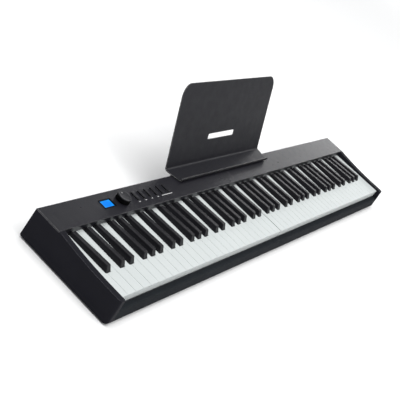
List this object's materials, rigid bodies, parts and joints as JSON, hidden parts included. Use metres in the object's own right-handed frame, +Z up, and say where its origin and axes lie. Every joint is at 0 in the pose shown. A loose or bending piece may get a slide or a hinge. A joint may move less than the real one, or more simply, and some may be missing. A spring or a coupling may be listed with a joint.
{
  "type": "folding digital piano",
  "caption": "Slim folding digital piano: two keyboard halves on a twin-pin hinge, sprung keys, control deck with display, dial and buttons, and a lift-off bent-steel music rest.",
  "frame": {"origin": "centre of the bounding box in plan, on the plane of the rubber feet", "axes": "+X along the keys to the treble end, +Y from the player to the rear, +Z up; the fold seam is the plane X = 0"},
  "size_m": [1.249, 0.2936, 0.226],
  "materials": {
    "case_plastic": "satin black moulding",
    "rail_plastic": "satin blue-black moulding",
    "deck_plastic": "fine-textured charcoal, satin",
    "natural_plastic": "polished cool white",
    "sharp_plastic": "satin black",
    "foot_rubber": "matte black",
    "silicone": "translucent grey",
    "screw_steel": "black zinc",
    "bright_steel": "ground",
    "hinge_steel": "black electrocoat",
    "frame_plastic": "matte",
    "circuit_board": "solder mask",
    "speaker_metal": "matte",
    "contact_housing": "matte with plated pins",
    "battery_wrap": "shrink wrap",
    "bezel_plastic": "gloss",
    "display_glass": "backlit",
    "rest_paint": "fine-textured powder coat",
    "dial_plastic": "satin",
    "switch_plastic": "satin",
    "button_rubber": "satin"
  },
  "bodies": {
    "left_half": {"left_bottom_case": "case_plastic", "left_front_rail": "rail_plastic", "left_end_cheek": "case_plastic", "left_top_deck": "deck_plastic", "left_feet": "foot_rubber", "left_case_screws": "screw_steel", "left_key_frame": "frame_plastic", "left_pivot_rod": "bright_steel", "left_contact_board": "circuit_board", "left_contact_strip": "silicone", "left_speaker": "speaker_metal", "left_hinge_leaf": "hinge_steel", "left_seam_connector": "contact_housing", "main_board": "circuit_board", "battery_pack": "battery_wrap", "display_bezel": "bezel_plastic", "display_lens": "display_glass", "control_board": "circuit_board", "jack_panel": "case_plastic"},
    "right_half": {"right_bottom_case": "case_plastic", "right_front_rail": "rail_plastic", "right_end_cheek": "case_plastic", "right_top_deck": "deck_plastic", "right_feet": "foot_rubber", "right_case_screws": "screw_steel", "right_key_frame": "frame_plastic", "right_pivot_rod": "bright_steel", "right_contact_board": "circuit_board", "right_contact_strip": "silicone", "right_speaker": "speaker_metal", "right_hinge_leaf": "hinge_steel", "right_seam_connector": "contact_housing"},
    "fold_spine": {"hinge_spine": "hinge_steel", "hinge_pins": "bright_steel"},
    "music_rest": {"music_rest": "rest_paint"},
    "dial": {"dial_knob": "dial_plastic", "dial_shaft": "bright_steel"},
    "power_switch": {"power_switch": "switch_plastic"},
    "button_1": {"button_1": "button_rubber"},
    "button_2": {"button_2": "button_rubber"},
    "button_3": {"button_3": "button_rubber"},
    "button_4": {"button_4": "button_rubber"},
    "button_5": {"button_5": "button_rubber"},
    "button_6": {"button_6": "button_rubber"},
    "left_naturals": {"left_naturals": "natural_plastic"},
    "left_sharps": {"left_sharps": "sharp_plastic"},
    "right_naturals": {"right_naturals": "natural_plastic"},
    "right_sharps": {"right_sharps": "sharp_plastic"},
    "key_c4": {"key_c4": "natural_plastic"},
    "key_c_sharp_4": {"key_c_sharp_4": "sharp_plastic"},
    "key_d4": {"key_d4": "natural_plastic"},
    "key_d_sharp_4": {"key_d_sharp_4": "sharp_plastic"},
    "key_e4": {"key_e4": "natural_plastic"},
    "key_f4": {"key_f4": "natural_plastic"},
    "key_f_sharp_4": {"key_f_sharp_4": "sharp_plastic"},
    "key_g4": {"key_g4": "natural_plastic"},
    "key_g_sharp_4": {"key_g_sharp_4": "sharp_plastic"},
    "key_a4": {"key_a4": "natural_plastic"},
    "key_a_sharp_4": {"key_a_sharp_4": "sharp_plastic"},
    "key_b4": {"key_b4": "natural_plastic"}
  },
  "joints": [
    {"name": "spine_fold", "type": "hinge", "parent": "left_half", "child": "fold_spine", "pos_m": [-0.009, 0, 0.007], "axis": [0, 1, 0], "range_deg": [0, 90]},
    {"name": "right_fold", "type": "hinge", "parent": "fold_spine", "child": "right_half", "pos_m": [0.009, 0, 0.007], "axis": [0, 1, 0], "range_deg": [0, 90]},
    {"name": "rest_lift", "type": "slide", "parent": "left_half", "child": "music_rest", "axis": [0, 0, 1], "range_m": [0, 0.06]},
    {"name": "dial_turn", "type": "hinge", "parent": "left_half", "child": "dial", "pos_m": [-0.411, 0.03524, 0.0625], "axis": [0, 0, 1], "continuous": true},
    {"name": "power_slide", "type": "slide", "parent": "left_half", "child": "power_switch", "axis": [1, 0, 0], "range_m": [0, 0.004]},
    {"name": "key_c4_press", "type": "hinge", "parent": "left_half", "child": "key_c4", "pos_m": [0, 0.02724, 0.04], "axis": [1, 0, 0], "range_deg": [0, 3.55], "stiffness_Nm_per_rad": 0.6, "springref_deg": -5.16},
    {"name": "key_c_sharp_4_press", "type": "hinge", "parent": "left_half", "child": "key_c_sharp_4", "pos_m": [0, 0.02724, 0.04], "axis": [1, 0, 0], "range_deg": [0, 3.55], "stiffness_Nm_per_rad": 0.6, "springref_deg": -5.16},
    {"name": "key_d4_press", "type": "hinge", "parent": "left_half", "child": "key_d4", "pos_m": [0, 0.02724, 0.04], "axis": [1, 0, 0], "range_deg": [0, 3.55], "stiffness_Nm_per_rad": 0.6, "springref_deg": -5.16},
    {"name": "key_d_sharp_4_press", "type": "hinge", "parent": "left_half", "child": "key_d_sharp_4", "pos_m": [0, 0.02724, 0.04], "axis": [1, 0, 0], "range_deg": [0, 3.55], "stiffness_Nm_per_rad": 0.6, "springref_deg": -5.16},
    {"name": "key_e4_press", "type": "hinge", "parent": "left_half", "child": "key_e4", "pos_m": [0, 0.02724, 0.04], "axis": [1, 0, 0], "range_deg": [0, 3.55], "stiffness_Nm_per_rad": 0.6, "springref_deg": -5.16},
    {"name": "key_f4_press", "type": "hinge", "parent": "right_half", "child": "key_f4", "pos_m": [0, 0.02724, 0.04], "axis": [1, 0, 0], "range_deg": [0, 3.55], "stiffness_Nm_per_rad": 0.6, "springref_deg": -5.16},
    {"name": "key_f_sharp_4_press", "type": "hinge", "parent": "right_half", "child": "key_f_sharp_4", "pos_m": [0, 0.02724, 0.04], "axis": [1, 0, 0], "range_deg": [0, 3.55], "stiffness_Nm_per_rad": 0.6, "springref_deg": -5.16},
    {"name": "key_g4_press", "type": "hinge", "parent": "right_half", "child": "key_g4", "pos_m": [0, 0.02724, 0.04], "axis": [1, 0, 0], "range_deg": [0, 3.55], "stiffness_Nm_per_rad": 0.6, "springref_deg": -5.16},
    {"name": "key_g_sharp_4_press", "type": "hinge", "parent": "right_half", "child": "key_g_sharp_4", "pos_m": [0, 0.02724, 0.04], "axis": [1, 0, 0], "range_deg": [0, 3.55], "stiffness_Nm_per_rad": 0.6, "springref_deg": -5.16},
    {"name": "key_a4_press", "type": "hinge", "parent": "right_half", "child": "key_a4", "pos_m": [0, 0.02724, 0.04], "axis": [1, 0, 0], "range_deg": [0, 3.55], "stiffness_Nm_per_rad": 0.6, "springref_deg": -5.16},
    {"name": "key_a_sharp_4_press", "type": "hinge", "parent": "right_half", "child": "key_a_sharp_4", "pos_m": [0, 0.02724, 0.04], "axis": [1, 0, 0], "range_deg": [0, 3.55], "stiffness_Nm_per_rad": 0.6, "springref_deg": -5.16},
    {"name": "key_b4_press", "type": "hinge", "parent": "right_half", "child": "key_b4", "pos_m": [0, 0.02724, 0.04], "axis": [1, 0, 0], "range_deg": [0, 3.55], "stiffness_Nm_per_rad": 0.6, "springref_deg": -5.16},
    {"name": "button_1_press", "type": "slide", "parent": "left_half", "child": "button_1", "axis": [0, 0, -1], "range_m": [0, 0.001], "stiffness_N_per_m": 800, "springref_m": -0.001},
    {"name": "button_2_press", "type": "slide", "parent": "left_half", "child": "button_2", "axis": [0, 0, -1], "range_m": [0, 0.001], "stiffness_N_per_m": 800, "springref_m": -0.001},
    {"name": "button_3_press", "type": "slide", "parent": "left_half", "child": "button_3", "axis": [0, 0, -1], "range_m": [0, 0.001], "stiffness_N_per_m": 800, "springref_m": -0.001},
    {"name": "button_4_press", "type": "slide", "parent": "left_half", "child": "button_4", "axis": [0, 0, -1], "range_m": [0, 0.001], "stiffness_N_per_m": 800, "springref_m": -0.001},
    {"name": "button_5_press", "type": "slide", "parent": "left_half", "child": "button_5", "axis": [0, 0, -1], "range_m": [0, 0.001], "stiffness_N_per_m": 800, "springref_m": -0.001},
    {"name": "button_6_press", "type": "slide", "parent": "left_half", "child": "button_6", "axis": [0, 0, -1], "range_m": [0, 0.001], "stiffness_N_per_m": 800, "springref_m": -0.001},
    {"name": "left_naturals_press", "type": "hinge", "parent": "left_half", "child": "left_naturals", "pos_m": [0, 0.02724, 0.04], "axis": [1, 0, 0], "range_deg": [0, 3.55], "stiffness_Nm_per_rad": 13.8, "springref_deg": -5.16},
    {"name": "left_sharps_press", "type": "hinge", "parent": "left_half", "child": "left_sharps", "pos_m": [0, 0.02724, 0.04], "axis": [1, 0, 0], "range_deg": [0, 3.55], "stiffness_Nm_per_rad": 9.6, "springref_deg": -5.16},
    {"name": "right_naturals_press", "type": "hinge", "parent": "right_half", "child": "right_naturals", "pos_m": [0, 0.02724, 0.04], "axis": [1, 0, 0], "range_deg": [0, 3.55], "stiffness_Nm_per_rad": 13.2, "springref_deg": -5.16},
    {"name": "right_sharps_press", "type": "hinge", "parent": "right_half", "child": "right_sharps", "pos_m": [0, 0.02724, 0.04], "axis": [1, 0, 0], "range_deg": [0, 3.55], "stiffness_Nm_per_rad": 9, "springref_deg": -5.16}
  ],
  "couplings": [
    {"joint": "right_fold", "follows": "spine_fold", "ratio": 1}
  ]
}
